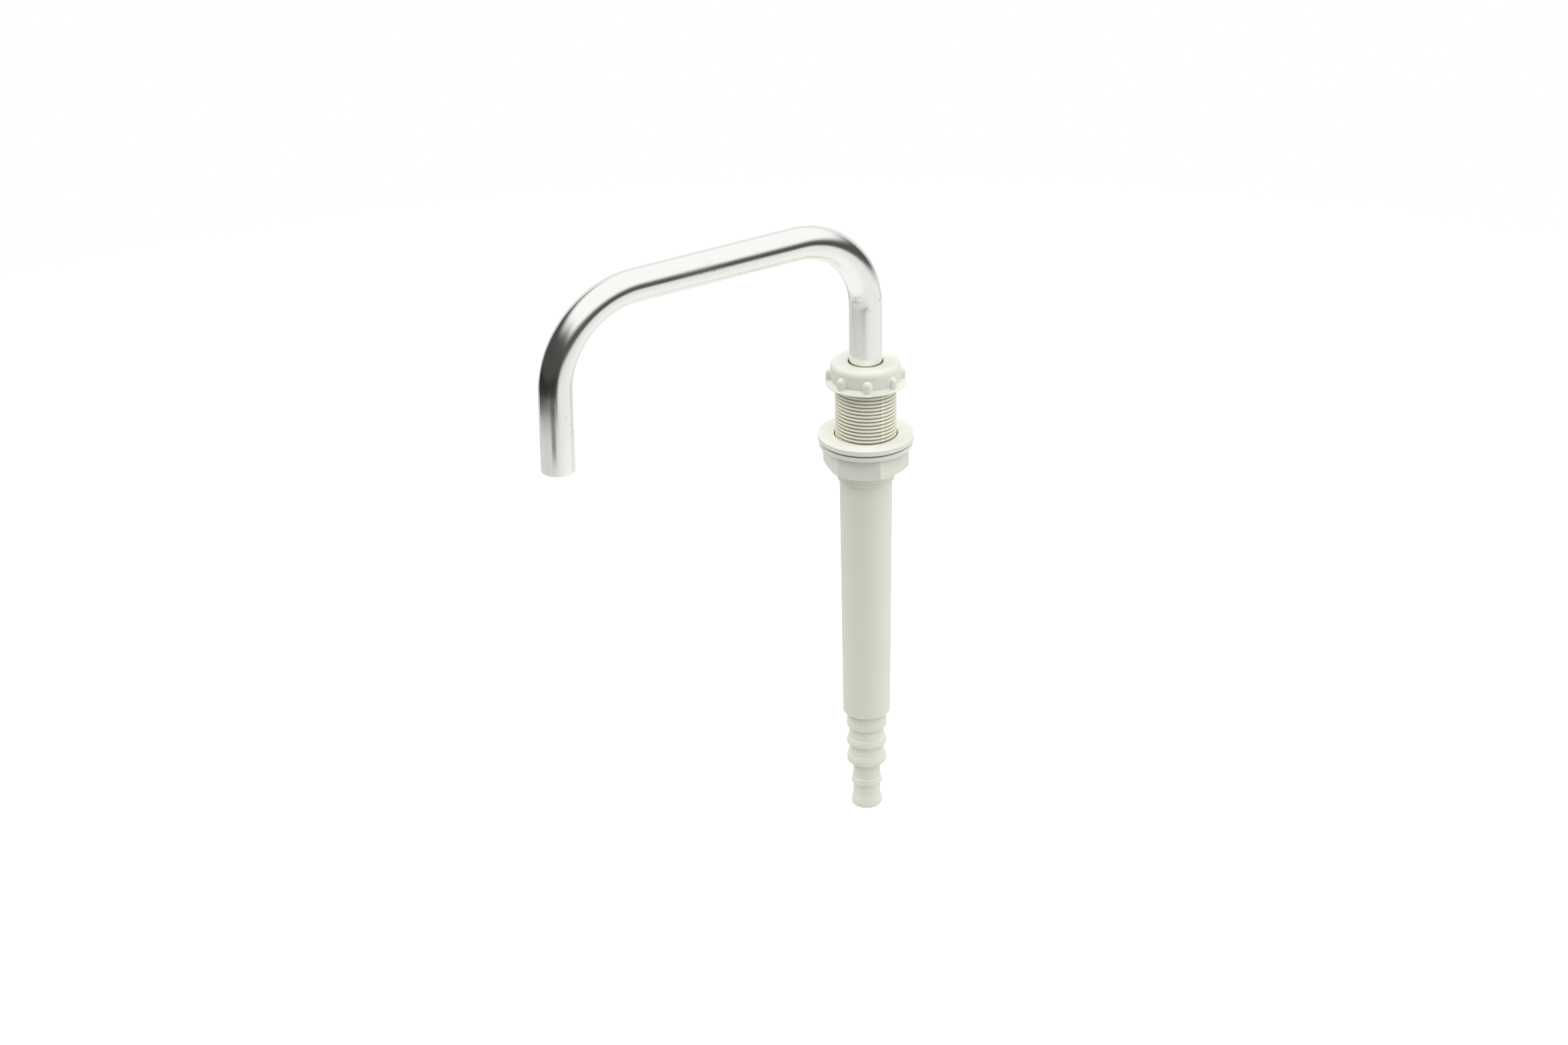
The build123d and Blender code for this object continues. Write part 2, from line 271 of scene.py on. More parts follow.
# %% Build the scuffs group
PATCH_EDGE, PIT_EDGE = (0.56, 0.72), (0.66, 0.72)
scuffs, given, result = open_group(
    "Pits and scuffs",
    "ShaderNodeTree",
    {"Pits per metre": "Float", "Patches per metre": "Float"},
    {"Mask": "Float", "Haze": "Float"},
)
where = object_place(scuffs)
patches = noise(scuffs, where, given["Patches per metre"], detail=3.0)
patches = smooth_step(scuffs, patches, *PATCH_EDGE)
pits = noise(scuffs, where, given["Pits per metre"])
pits = smooth_step(scuffs, pits, *PIT_EDGE)
put_out(scuffs, result, {"Mask": product(scuffs, patches, pits), "Haze": patches})

# %% Draw the lines along the aluminium
LINES_ROUND, LINES_ALONG = 900.0, 12.0
aluminium, tree, shader = new_material("bright_aluminium")
ring_place = place(tree, "ShaderNodeAttribute", attribute_name="ring_place").outputs["Vector"]
along = place(tree, "ShaderNodeAttribute", attribute_name="along_tube").outputs["Fac"]
round_tube = place(tree, "ShaderNodeVectorMath", {0: ring_place, 3: LINES_ROUND}, operation="SCALE")
down_tube = place(tree, "ShaderNodeCombineXYZ", {"Z": product(tree, along, LINES_ALONG)})
drawn = vectors(tree, "ADD", round_tube.outputs[0], down_tube.outputs[0])
lines = noise(tree, drawn, scale=1.0, detail=3.0)
print("draw lines:", len(tree.nodes), "nodes")

# %% Mark the aluminium with pits and nicks
TOOL_GRIP = 150.5
GRIP_HALF_WIDTH = 5.5
CLUSTER_EDGE, NICK_EDGE = (0.46, 0.6), (0.48, 0.6)
sockets = {"Pits per metre": 1500.0, "Patches per metre": 26.0}
wear = place(tree, "ShaderNodeGroup", sockets, node_tree=scuffs)
from_grip = maths(tree, "ABSOLUTE", maths(tree, "SUBTRACT", along, TOOL_GRIP * MM))
gripped = smooth_step(tree, from_grip, GRIP_HALF_WIDTH * MM, 1.0 * MM)
where = object_place(tree)
clusters = smooth_step(tree, noise(tree, where, scale=190.0), *CLUSTER_EDGE)
nicks = smooth_step(tree, noise(tree, where, scale=3000.0, detail=3.0), *NICK_EDGE)
nicks = product(tree, nicks, product(tree, gripped, clusters))
marks = maths(tree, "MAXIMUM", wear.outputs["Mask"], nicks)
print("with marks:", len(tree.nodes), "nodes")

# %% Finish the aluminium
BLUR, LINE_BLUR, HAZE_BLUR, MARK_BLUR = 0.19, 0.12, 0.05, 0.3
CLEAN_METAL, MARKED_METAL = (0.948, 0.957, 0.92, 1), (0.26, 0.26, 0.23, 1)
LINE_DEPTH = 0.35
blur = maths(tree, "MULTIPLY_ADD", maths(tree, "SUBTRACT", lines, 0.5), LINE_BLUR, BLUR)
blur = maths(tree, "MULTIPLY_ADD", wear.outputs["Haze"], HAZE_BLUR, blur)
blur = maths(tree, "MULTIPLY_ADD", marks, MARK_BLUR, blur)
tree.links.new(blur, shader.inputs["Roughness"])
metal = mix_colours(tree, marks, CLEAN_METAL, MARKED_METAL)
tree.links.new(metal, shader.inputs["Base Color"])
dents = maths(tree, "SUBTRACT", product(tree, lines, LINE_DEPTH), marks)
surface = place(tree, "ShaderNodeBump", {"Strength": 0.26, "Distance": 0.02 * MM, "Height": dents})
tree.links.new(surface.outputs["Normal"], shader.inputs["Normal"])
shader.inputs["Metallic"].default_value = 1.0
print("aluminium:", len(tree.nodes), "nodes")

# %% [markdown]
# ## Rubber and spring wire
# The seal and the snap ring are inside and only show if the piece is taken apart, but they get
# a finish too: black rubber with a soft bloom, and steel wire with lines from drawing.

# %% Make the rubber and the wire
WIRE_GREYS = (0.50, 0.50, 0.49, 1), (0.66, 0.66, 0.65, 1)
LINES_PER_METRE = (400.0, 400.0, 5000.0)
rubber = plastic("seal_black_rubber", (0.02, 0.02, 0.021), cloudiness=0.4, grain=1800.0,
                 roughness=0.5)
wire, tree, shader = new_material("spring_steel_wire")
where = object_place(tree)
stretched = place(tree, "ShaderNodeMapping", {"Vector": where, "Scale": LINES_PER_METRE})
lines = noise(tree, stretched.outputs[0], scale=1.0, detail=3.0)
tree.links.new(maths(tree, "MULTIPLY_ADD", lines, 0.25, 0.2), shader.inputs["Roughness"])
steel = mix_colours(tree, lines, *WIRE_GREYS)
tree.links.new(steel, shader.inputs["Base Color"])
shader.inputs["Metallic"].default_value = 1.0
print("all materials:", len(bpy.data.materials))

# %% [markdown]
# ## Turned shapes
# Most of the mouldings are turned: one outline swept round the axis. The outline is a list of
# corners, each with the radius that rounds it, because even a crisp moulded edge has a small
# radius that catches the light. A point is added just beyond each end of a rounding, so that
# smooth shading stays on the rounding and the flats beside it stay flat. The Screw modifier
# could sweep an outline too, but the hexagon of the nut needs another outline at each angle.

# %% Round the corners of an outline
def rounded(corners, steps=5, support=0.05):
    """A closed outline of (radius, height), from corners of (radius, height, rounding size)."""
    points = []
    for index, (radius, height, size) in enumerate(corners):
        here = Vector((radius, height))
        if size == 0:
            points.append(here)
            continue
        before = Vector(corners[index - 1][:2]) - here
        after = Vector(corners[(index + 1) % len(corners)][:2]) - here
        opening = before.angle(after)
        before.normalize()
        after.normalize()
        reach = size / tan(opening / 2)
        centre = here + (before + after).normalized() * (size / sin(opening / 2))
        first = here + before * reach - centre
        last = here + after * reach - centre
        points.append(here + before * (reach + support))
        for step in range(steps + 1):
            blend = step / steps
            turn = first.angle(last)
            arc = (first * sin((1 - blend) * turn) + last * sin(blend * turn)) / sin(turn)
            points.append(centre + arc)
        points.append(here + after * (reach + support))
    return [(point.x, point.y) for point in points]


square = [(1, 0, 0.2), (2, 0, 0.2), (2, 1, 0.2), (1, 1, 0.2)]
print("a rounded square has", len(rounded(square)), "points")

# %% Add a piece to the scene
SHARP_ANGLE = radians(35)


def add_object(name, data):
    """A new object with this data, linked to the scene."""
    thing = bpy.data.objects.new(name, data)
    scene.collection.objects.link(thing)
    return thing


def add_piece(name, mesh, finish):
    """Put a mesh in the scene, facing outwards and shaded smooth, with its finish."""
    shape = bmesh.new()
    shape.from_mesh(mesh)
    if shape.calc_volume(signed=True) < 0:
        bmesh.ops.reverse_faces(shape, faces=shape.faces)
    shape.to_mesh(mesh)
    shape.free()
    mesh.shade_smooth()
    mesh.set_sharp_from_angle(angle=SHARP_ANGLE)
    mesh.materials.clear()
    mesh.materials.append(finish)
    print(name, "faces:", len(mesh.polygons))
    return add_object(name, mesh)


def show_box(piece):
    """Print a piece's size in millimetres."""
    print(piece.name, "box, mm:", [round(size / MM, 2) for size in piece.dimensions])


print("edges stay sharp over, radians:", round(SHARP_ANGLE, 3))

# %% Sweep an outline round the axis
def full_turn(slices):
    """Equal angles all the way round the axis."""
    return [tau * index / slices for index in range(slices)]


def swept_mesh(name, outline_at, angles, closed):
    """A mesh of the outline that outline_at(angle) gives in millimetres, at each of the angles."""
    outlines = [outline_at(angle) for angle in angles]
    around = len(outlines[0])
    corners = [
        (radius * cos(angle) * MM, radius * sin(angle) * MM, height * MM)
        for angle, outline in zip(angles, outlines)
        for radius, height in outline
    ]
    faces = []
    for slice_ in range(len(angles) if closed else len(angles) - 1):
        here = slice_ * around
        beyond = (slice_ + 1) % len(angles) * around
        for point in range(around):
            ahead = (point + 1) % around
            faces.append((here + point, beyond + point, beyond + ahead, here + ahead))
    mesh = bpy.data.meshes.new(name)
    mesh.from_pydata(corners, [], faces)
    return mesh


def turned(name, corners, finish, slices=192):
    """A piece turned from rounded corners (radius, height, rounding size)."""
    outline = rounded(corners)
    mesh = swept_mesh(name, lambda angle: outline, full_turn(slices), True)
    return add_piece(name, mesh, finish)


print("four slices of a turn:", [round(angle, 3) for angle in full_turn(4)])

# %% [markdown]
# ## Running a Geometry Nodes tree
# A tree is a recipe with named inputs. The modifier keeps its inputs under identifiers, so they
# are looked up by name, set before the object is first evaluated, and the evaluated result is
# then frozen into a plain mesh with no modifier left on it. Every tree ends the same way: what it
# made is realized, and Set Material gives it the finish.

# %% End a tree, run a tree and freeze its result
def end_tree(tree, given, result, solid):
    """Give the tree's realized solid its finish, and put it out."""
    sockets = {"Geometry": solid, "Material": given["Finish"]}
    tree.links.new(place(tree, "GeometryNodeSetMaterial", sockets).outputs[0], result[0])
    print(tree.name, "tree:", len(tree.nodes), "nodes")


def run_tree(tree, name, start_mesh, finish, inputs, after=()):
    """Run the tree on a mesh, then these other modifiers, and give back a plain mesh piece."""
    maker = add_object(name, start_mesh)
    modifier = maker.modifiers.new("recipe", "NODES")
    modifier.node_group = tree
    settings = {**inputs, "Finish": finish}
    for socket in tree.interface.items_tree:
        if socket.in_out == "INPUT" and socket.name in settings:
            modifier[socket.identifier] = settings[socket.name]
    for kind, options in after:
        extra = maker.modifiers.new(kind.lower(), kind)
        for option, value in options.items():
            setattr(extra, option, value)
    graph = bpy.context.evaluated_depsgraph_get()
    mesh = bpy.data.meshes.new_from_object(maker.evaluated_get(graph), depsgraph=graph)
    bpy.data.objects.remove(maker)
    return add_piece(name, mesh, finish)


# %% [markdown]
# ## The bent tube
# The spout is one length of tube, bent twice in one plane. Its shape follows a rule, so Geometry
# Nodes make it: four points give the route, each corner has its own bend radius, and a circle is
# swept along the rounded route. A curve object with a bevel would do too, but here the two bend
# radii are plain numbers, and the finish can read how far along the tube it is. Solidify then
# gives the tube its wall, and a small bevel breaks the sharp edges that a tube cutter leaves.

# %% Round, label and sweep curves
def round_corners(tree, curve, steps, radius):
    """Round a curve's corners, each into an arc of this radius and this many steps."""
    sockets = {"Curve": curve, "Count": steps, "Radius": radius, "Limit Radius": True}
    return place(tree, "GeometryNodeFilletCurve", sockets, mode="POLY").outputs[0]


def label(tree, curve, name, value, sort):
    """Keep a value on each point of a curve, as an attribute of this name and sort."""
    sockets = {"Geometry": curve, "Name": name, "Value": value}
    options = {"data_type": sort, "domain": "POINT"}
    return place(tree, "GeometryNodeStoreNamedAttribute", sockets, **options).outputs[0]


def sweep(tree, curve, profile, capped):
    """Sweep a closed profile along a curve, as realized mesh."""
    sockets = {"Curve": curve, "Profile Curve": profile, "Fill Caps": capped}
    swept = place(tree, "GeometryNodeCurveToMesh", sockets).outputs[0]
    return place(tree, "GeometryNodeRealizeInstances", {"Geometry": swept}).outputs[0]


print("curve helpers ready")

# %% Build the bent tube tree
bent_tube, given, result = open_group(
    "Bent tube",
    "GeometryNodeTree",
    {
        "Route": "Geometry", "Tube radius": "Float", "Steps per bend": "Int", "Sides": "Int",
        "Finish": "Material",
    },
    {"Tube": "Geometry"},
)
route = place(bent_tube, "GeometryNodeMeshToCurve", {"Mesh": given["Route"]}).outputs["Curve"]
sockets = {"Name": "bend_radius"}
bend = place(bent_tube, "GeometryNodeInputNamedAttribute", sockets, data_type="FLOAT").outputs[0]
route = round_corners(bent_tube, route, given["Steps per bend"], bend)
length = place(bent_tube, "GeometryNodeSplineParameter").outputs["Length"]
route = label(bent_tube, route, "along_tube", length, "FLOAT")
sockets = {"Resolution": given["Sides"], "Radius": given["Tube radius"]}
ring = place(bent_tube, "GeometryNodeCurvePrimitiveCircle", sockets).outputs["Curve"]
on_ring = place(bent_tube, "GeometryNodeInputPosition").outputs[0]
ring = label(bent_tube, ring, "ring_place", on_ring, "FLOAT_VECTOR")
end_tree(bent_tube, given, result, sweep(bent_tube, route, ring, False))

# %% Run it along the spout's route
TUBE_RADIUS = 6.35
TUBE_WALL = 1.2
ARM_HEIGHT = 63.7
REACH = 136.8
OUTLET_END = -1.5
TUBE_END = -115.0
stops = [
    (0, TUBE_END, 0),
    (0, ARM_HEIGHT, 32.0),
    (-REACH, ARM_HEIGHT, 34.5),
    (-REACH, OUTLET_END, 0),
]
route_mesh = bpy.data.meshes.new("spout_route")
places = [(0, out * MM, height * MM) for out, height, bend_radius in stops]
route_mesh.from_pydata(places, [(0, 1), (1, 2), (2, 3)], [])
bends = route_mesh.attributes.new("bend_radius", "FLOAT", "POINT")
for index, (out, height, bend_radius) in enumerate(stops):
    bends.data[index].value = bend_radius * MM
spout = run_tree(
    bent_tube,
    "spout",
    route_mesh,
    aluminium,
    {"Tube radius": TUBE_RADIUS * MM, "Steps per bend": 64, "Sides": 144},
    after=[
        ("SOLIDIFY", {"thickness": TUBE_WALL * MM, "offset": -1.0, "use_even_offset": True}),
        ("BEVEL", {"width": 0.25 * MM, "segments": 4, "angle_limit": radians(60)}),
    ],
)
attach(spout, "spout")
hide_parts("spout_tube")
show_box(spout)

# %% [markdown]
# ## Copies round an axis
# The cap nut's ribs, the sleeve's two mould lines and the six flats of the flange nut are each
# one shape repeated round the axis. One tree does all three: it turns copies of the shape it is
# given by equal steps, realizes them, and merges the corners that meet, so that a nut made of
# six wedges is one closed skin.

# %% Build the ring of copies tree
ring_of_copies, given, result = open_group(
    "Ring of copies",
    "GeometryNodeTree",
    {
        "Shape": "Geometry", "Count": "Int", "First angle": "Float", "Merge distance": "Float",
        "Finish": "Material",
    },
    {"Ring": "Geometry"},
)
step = maths(ring_of_copies, "DIVIDE", tau, given["Count"])
index = place(ring_of_copies, "GeometryNodeInputIndex").outputs[0]
angle = maths(ring_of_copies, "MULTIPLY_ADD", index, step, given["First angle"])
euler = place(ring_of_copies, "ShaderNodeCombineXYZ", {"Z": angle}).outputs[0]
turn = place(ring_of_copies, "FunctionNodeEulerToRotation", {"Euler": euler}).outputs[0]
points = place(ring_of_copies, "GeometryNodePoints", {"Count": given["Count"]})
sockets = {"Points": points.outputs[0], "Instance": given["Shape"], "Rotation": turn}
copies = place(ring_of_copies, "GeometryNodeInstanceOnPoints", sockets)
solid = place(ring_of_copies, "GeometryNodeRealizeInstances", {"Geometry": copies.outputs[0]})
sockets = {"Geometry": solid.outputs[0], "Distance": given["Merge distance"]}
merged = place(ring_of_copies, "GeometryNodeMergeByDistance", sockets)
end_tree(ring_of_copies, given, result, merged.outputs[0])

# %% Repeat a mesh round the axis
def repeated(name, mesh, finish, count, first_angle, merge=0.0):
    """Copies of a mesh round the axis, as one piece."""
    inputs = {"Count": count, "First angle": first_angle, "Merge distance": merge}
    return run_tree(ring_of_copies, name, mesh, finish, inputs)


print("ring of copies takes:", ", ".join(socket.name for socket in given if socket.name))


# %% [markdown]
# ## The cap nut
# The cap nut is a round shell with a wide soft shoulder, a bevelled rim that rests on the deck,
# and a row of grip ribs. The shell is turned. Each rib is round at its top and runs down into the
# rim's bevel. It is built from loops of its outline, each a little further in and further out
# from the axis, with a small fillet where it meets the wall and a large rounding at its front.
# The ribs only sink a little into the wall, because a boolean union would spoil both skins.

# %% Turn the shell
CAP_HOLE = 6.65
CAP_RADIUS = 13.65
RIM_RADIUS = 15.75
BEVEL_TOP, BEVEL_FOOT = 1.85, 0.55
NUT_BORE = 12.05
cap_shell = turned(
    "cap_shell",
    [
        (CAP_HOLE, 8.8, 0.5),
        (CAP_RADIUS, 8.8, 2.3),
        (CAP_RADIUS, BEVEL_TOP, 0.12),
        (RIM_RADIUS, BEVEL_FOOT, 0.2),
        (RIM_RADIUS, 0, 0.15),
        (NUT_BORE, 0, 0.2),
        (NUT_BORE, 6.0, 0.3),
        (CAP_HOLE, 6.0, 0.1),
    ],
    nut_white,
)

# %% Lay out one rib in loops
RIB_HALF_WIDTH = 1.65
RIB_FLOOR, RIB_HIGH = 0.12, 3.85
RIB_FRONT = 15.43
RIB_ROUND = 1.45
RIB_FOOT, RIB_SINK = 0.35, 0.03
FOOT_STEPS, FRONT_STEPS = 5, 8
CROWN, CROWN_INSET = 0.01, 0.2


def pill(inset, sides=20):
    """A rib's outline moved in by inset, as (sideways, height): round above, straight below."""
    reach = RIB_HALF_WIDTH - inset
    turns = [pi * side / sides for side in range(sides + 1)]
    top = [(reach * cos(turn), RIB_HIGH + reach * sin(turn)) for turn in turns]
    return top + [(-reach, RIB_FLOOR), (reach, RIB_FLOOR)]


def rib_loops():
    """Each loop's points as (out from the axis, sideways, height)."""
    loops = []
    for step in range(FOOT_STEPS + 1):
        turn = radians(90 * step / FOOT_STEPS)
        inset = -RIB_FOOT * (1 - sin(turn))
        lift = RIB_FOOT * (1 - cos(turn)) - RIB_SINK
        loops.append([
            (sqrt(CAP_RADIUS ** 2 - across ** 2) + lift, across, height)
            for across, height in pill(inset)
        ])
    for step in range(FRONT_STEPS + 1):
        turn = radians(90 * step / FRONT_STEPS)
        inset = RIB_ROUND * (1 - cos(turn))
        out = RIB_FRONT - RIB_ROUND * (1 - sin(turn))
        loops.append([(out, across, height) for across, height in pill(inset)])
    top = pill(RIB_ROUND + CROWN_INSET)
    loops.append([(RIB_FRONT + CROWN, across, height) for across, height in top])
    return loops


print("one rib has", len(rib_loops()), "loops")

# %% Bridge the loops into a rib
def to_mesh(shape, name):
    """Turn what bmesh has built into a mesh of this name."""
    mesh = bpy.data.meshes.new(name)
    shape.to_mesh(mesh)
    shape.free()
    return mesh


rib_shape = bmesh.new()
rings = [
    [rib_shape.verts.new([size * MM for size in point]) for point in loop] for loop in rib_loops()
]
for inner, outer in zip(rings, rings[1:]):
    for here in range(len(inner)):
        ahead = (here + 1) % len(inner)
        rib_shape.faces.new((inner[here], inner[ahead], outer[ahead], outer[here]))
rib_shape.faces.new(rings[-1])
rib_shape.faces.new(rings[0][::-1])
rib_mesh = to_mesh(rib_shape, "rib")
print("one rib has", len(rib_mesh.polygons), "faces")

# %% Repeat the rib and join it to the shell
def joined(name, pieces):
    """Join several pieces that are one moulding into one object of this name."""
    with bpy.context.temp_override(active_object=pieces[0], selected_editable_objects=pieces):
        bpy.ops.object.join()
    pieces[0].name = name
    return pieces[0]


cap_ribs = repeated("cap_ribs", rib_mesh, nut_white, count=8, first_angle=radians(13.3))
cap = joined("cap", [cap_shell, cap_ribs])
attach(cap, "cap")
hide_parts("cap_nut")
print("cap faces:", len(cap.data.polygons))

# %% [markdown]
# ## The threaded sleeve
# The sleeve's thread is the finest shape on the object: a ridge that climbs 1.5 mm each turn,
# right-handed, moulded and not cut, so that its crest is round. Geometry Nodes have a spiral
# curve ready, and sweeping a rounded trapezoid along it gives the ridge. A bump would be
# quicker, but wouldn't show in the outline. The ridge shrinks to nothing over its last part turn
# at each end, as a moulded thread does. Two fine raised lines show where the two halves of the
# mould met.

# %% Turn the sleeve's core
THREAD_ROOT = 11.08
THREAD_TOP = 4.1
THREAD_END = -34.2
PITCH = 1.5
sleeve_core = turned(
    "sleeve_core",
    [
        (8.86, 4.4, 0.2),
        (THREAD_ROOT, 4.4, 0.25),
        (THREAD_ROOT, -38.85, 0.25),
        (9.27, -38.85, 0.1),
        (9.27, -20.05, 0),
        (7.6, -20.05, 0),
        (7.6, -5.6, 0),
        (8.86, -5.6, 0),
    ],
    sleeve_cream,
)

# %% Build the thread tree
thread, given, result = open_group(
    "Thread",
    "GeometryNodeTree",
    {
        "Base": "Geometry", "Root radius": "Float", "Depth": "Float", "Pitch": "Float",
        "Turns": "Float", "Lowest point": "Float", "Start angle": "Float", "Foot width": "Float",
        "Crest width": "Float", "Steps per turn": "Int", "Finish": "Material",
    },
    {"Ridge": "Geometry"},
)
spiral = place(
    thread,
    "GeometryNodeCurveSpiral",
    {
        "Resolution": given["Steps per turn"],
        "Rotations": given["Turns"],
        "Start Radius": given["Root radius"],
        "End Radius": given["Root radius"],
        "Height": product(thread, given["Pitch"], given["Turns"]),
    },
)
seat = place(thread, "ShaderNodeCombineXYZ", {"Z": given["Lowest point"]}).outputs[0]
spin = place(thread, "ShaderNodeCombineXYZ", {"Z": given["Start angle"]}).outputs[0]
sockets = {"Geometry": spiral.outputs[0], "Translation": seat, "Rotation": spin}
seated = place(thread, "GeometryNodeTransform", sockets).outputs[0]
upright = place(thread, "GeometryNodeSetCurveNormal", {"Curve": seated}, mode="Z_UP").outputs[0]
print("spiral:", len(thread.nodes), "nodes")

# %% Taper the thread's ends, and sweep its section
FADE_TURNS, THINNEST = 0.625, 0.02
CREST_ROUND = 0.42
factor = place(thread, "GeometryNodeSplineParameter").outputs["Factor"]
to_end = maths(thread, "MINIMUM", factor, maths(thread, "SUBTRACT", 1.0, factor))
fade = product(thread, to_end, product(thread, given["Turns"], 1 / FADE_TURNS))
fade = maths(thread, "MINIMUM", maths(thread, "MAXIMUM", fade, THINNEST), 1.0)
tapered = place(thread, "GeometryNodeSetCurveRadius", {"Curve": upright, "Radius": fade}).outputs[0]
section = place(
    thread,
    "GeometryNodeCurvePrimitiveQuadrilateral",
    {
        "Bottom Width": given["Foot width"],
        "Top Width": given["Crest width"],
        "Offset": 0.0,
        "Height": product(thread, given["Depth"], 2.0),
    },
    mode="TRAPEZOID",
)
softness = product(thread, given["Crest width"], CREST_ROUND)
soft_section = round_corners(thread, section.outputs[0], 4, softness)
sockets = {"Geometry": soft_section, "Rotation": (0.0, 0.0, pi / 2)}
outward = place(thread, "GeometryNodeTransform", sockets).outputs[0]
end_tree(thread, given, result, sweep(thread, tapered, outward, True))

# %% Run the thread
thread_ridge = run_tree(
    thread,
    "thread_ridge",
    bpy.data.meshes.new("thread_base"),
    sleeve_cream,
    {
        "Root radius": THREAD_ROOT * MM,
        "Depth": 0.91 * MM,
        "Pitch": PITCH * MM,
        "Turns": (THREAD_TOP - THREAD_END) / PITCH,
        "Lowest point": THREAD_END * MM,
        "Start angle": 0.0,
        "Foot width": 1.38 * MM,
        "Crest width": 0.8 * MM,
        "Steps per turn": 120,
    },
)
show_box(thread_ridge)

# %% Add the two mould lines and join the sleeve
LINE_FOOT, LINE_CREST = 0.22, 0.07
LINE_RADIUS = 11.72
LINE_ROOT = THREAD_ROOT - 0.3
line_section = [
    (LINE_ROOT, -LINE_FOOT), (LINE_RADIUS, -LINE_CREST),
    (LINE_RADIUS, LINE_CREST), (LINE_ROOT, LINE_FOOT),
]
line_shape = bmesh.new()
ends = [
    [line_shape.verts.new((out * MM, across * MM, height * MM)) for out, across in line_section]
    for height in (THREAD_END, THREAD_TOP)
]
for here in range(4):
    ahead = (here + 1) % 4
    line_shape.faces.new((ends[0][here], ends[0][ahead], ends[1][ahead], ends[1][here]))
line_shape.faces.new(ends[0][::-1])
line_shape.faces.new(ends[1])
line_mesh = to_mesh(line_shape, "mould_line")
mould_lines = repeated("mould_lines", line_mesh, sleeve_cream, count=2, first_angle=radians(-1))
sleeve = joined("sleeve", [sleeve_core, thread_ridge, mould_lines])
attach(sleeve, "shank")
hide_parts("threaded_sleeve")

# %% [markdown]
# ## The washer
# The washer is a plain flat ring, a little wider than the nut below it, so it is turned like
# the cap. Its edges are rounded just enough to catch a line of light.

# %% Turn the washer
washer = turned(
    "washer",
    [
        (12.3, -21.4, 0.15),
        (18.65, -21.4, 0.35),
        (18.65, -23.6, 0.35),
        (12.3, -23.6, 0.15),
    ],
    washer_white,
)
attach(washer, "washer")
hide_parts("deck_washer")

# %% [markdown]
# ## The flange nut
# The nut is a hexagon under a round flange, with its lower corners turned off by a cone. A wedge
# of one sixth is built with an outline that changes with the angle: the flat's distance from the
# axis, and the height at which the cone cuts it. The ring of copies then closes the six wedges.
# Cutting a prism with a cone would give the same shape, but with long thin faces.

# %% Lay out the nut's outline at each angle
NUT_TOP = -23.6
BEARING_RADIUS = 15.4
FLANGE_TOP = -24.28
FLANGE_BOTTOM = -26.1
FLANGE_RADIUS = 18.2
NUT_BOTTOM = -35.5
APOTHEM = 14.75
CORNER_ROUND = 0.7
CONE_FOOT = 14.78
CONE_SLOPE = 1.3 / 2.25
LEAST_CUT = 0.2
FIRST_FLAT = radians(75.5)
corner_centre = (APOTHEM - CORNER_ROUND) / cos(pi / 6)
flat_end = atan((APOTHEM - CORNER_ROUND) * tan(pi / 6) / APOTHEM)


def hexagon_radius(angle):
    """The hexagon's distance from the axis at this angle from the middle of a flat."""
    if abs(angle) <= flat_end:
        return APOTHEM / cos(angle)
    aside = pi / 6 - abs(angle)
    return corner_centre * cos(aside) + sqrt(CORNER_ROUND ** 2 - (corner_centre * sin(aside)) ** 2)


def nut_outline(angle):
    """The nut's outline at this angle from the middle of a flat."""
    flat = hexagon_radius(angle)
    foot = min(CONE_FOOT, flat - LEAST_CUT)
    cut = NUT_BOTTOM + max(LEAST_CUT, (flat - CONE_FOOT) * CONE_SLOPE)
    return rounded(
        [
            (NUT_BORE, NUT_TOP, 0.1),
            (BEARING_RADIUS, NUT_TOP, 0.12),
            (BEARING_RADIUS, FLANGE_TOP, 0.08),
            (FLANGE_RADIUS, FLANGE_TOP, 0.3),
            (FLANGE_RADIUS, FLANGE_BOTTOM, 0.3),
            (flat, FLANGE_BOTTOM, 0.25),
            (flat, cut, 0.23),
            (foot, NUT_BOTTOM, 0.23),
            (NUT_BORE + 0.5, NUT_BOTTOM, 0.08),
            (NUT_BORE, NUT_BOTTOM + 0.5, 0.08),
        ],
        steps=3,
        support=0.03,
    )


print("nut across its corners, mm:", round(2 * hexagon_radius(pi / 6), 2))

# %% Sweep one sixth of the nut
straight = [flat_end * index / 12 for index in range(-12, 13)]
corner = [flat_end + (pi / 6 - flat_end) * index / 5 for index in range(1, 6)]
wedge_angles = [-angle for angle in corner[::-1]] + straight + corner
wedge = swept_mesh("nut_wedge", nut_outline, wedge_angles, False)
print("the wedge has", len(wedge_angles), "slices and", len(wedge.polygons), "faces")

# %% Close six wedges into the nut
nut = repeated("nut", wedge, nut_white, count=6, first_angle=FIRST_FLAT, merge=0.002 * MM)
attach(nut, "nut")
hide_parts("flange_nut")

# %% [markdown]
# ## The casing and its hose tail
# The casing is one long moulding: a spigot inside the sleeve, a low collar that stops it there, a
# tube that narrows a little towards its foot so that it leaves its mould, and a stepped tail for
# two sizes of hose. Each barb has a crisp lower edge that grips the hose, a slope above it and a
# small shoulder, and the end of each step is well rounded so that the hose starts easily. A tiny
# ring on the collar, with a brown middle, is where the hot plastic entered the mould.

# %% Turn the casing
LARGE_NECK, LARGE_CREST = 6.9, 8.0
SMALL_NECK, SMALL_CREST = 5.45, 6.15
COLLAR_RADIUS = 11.08


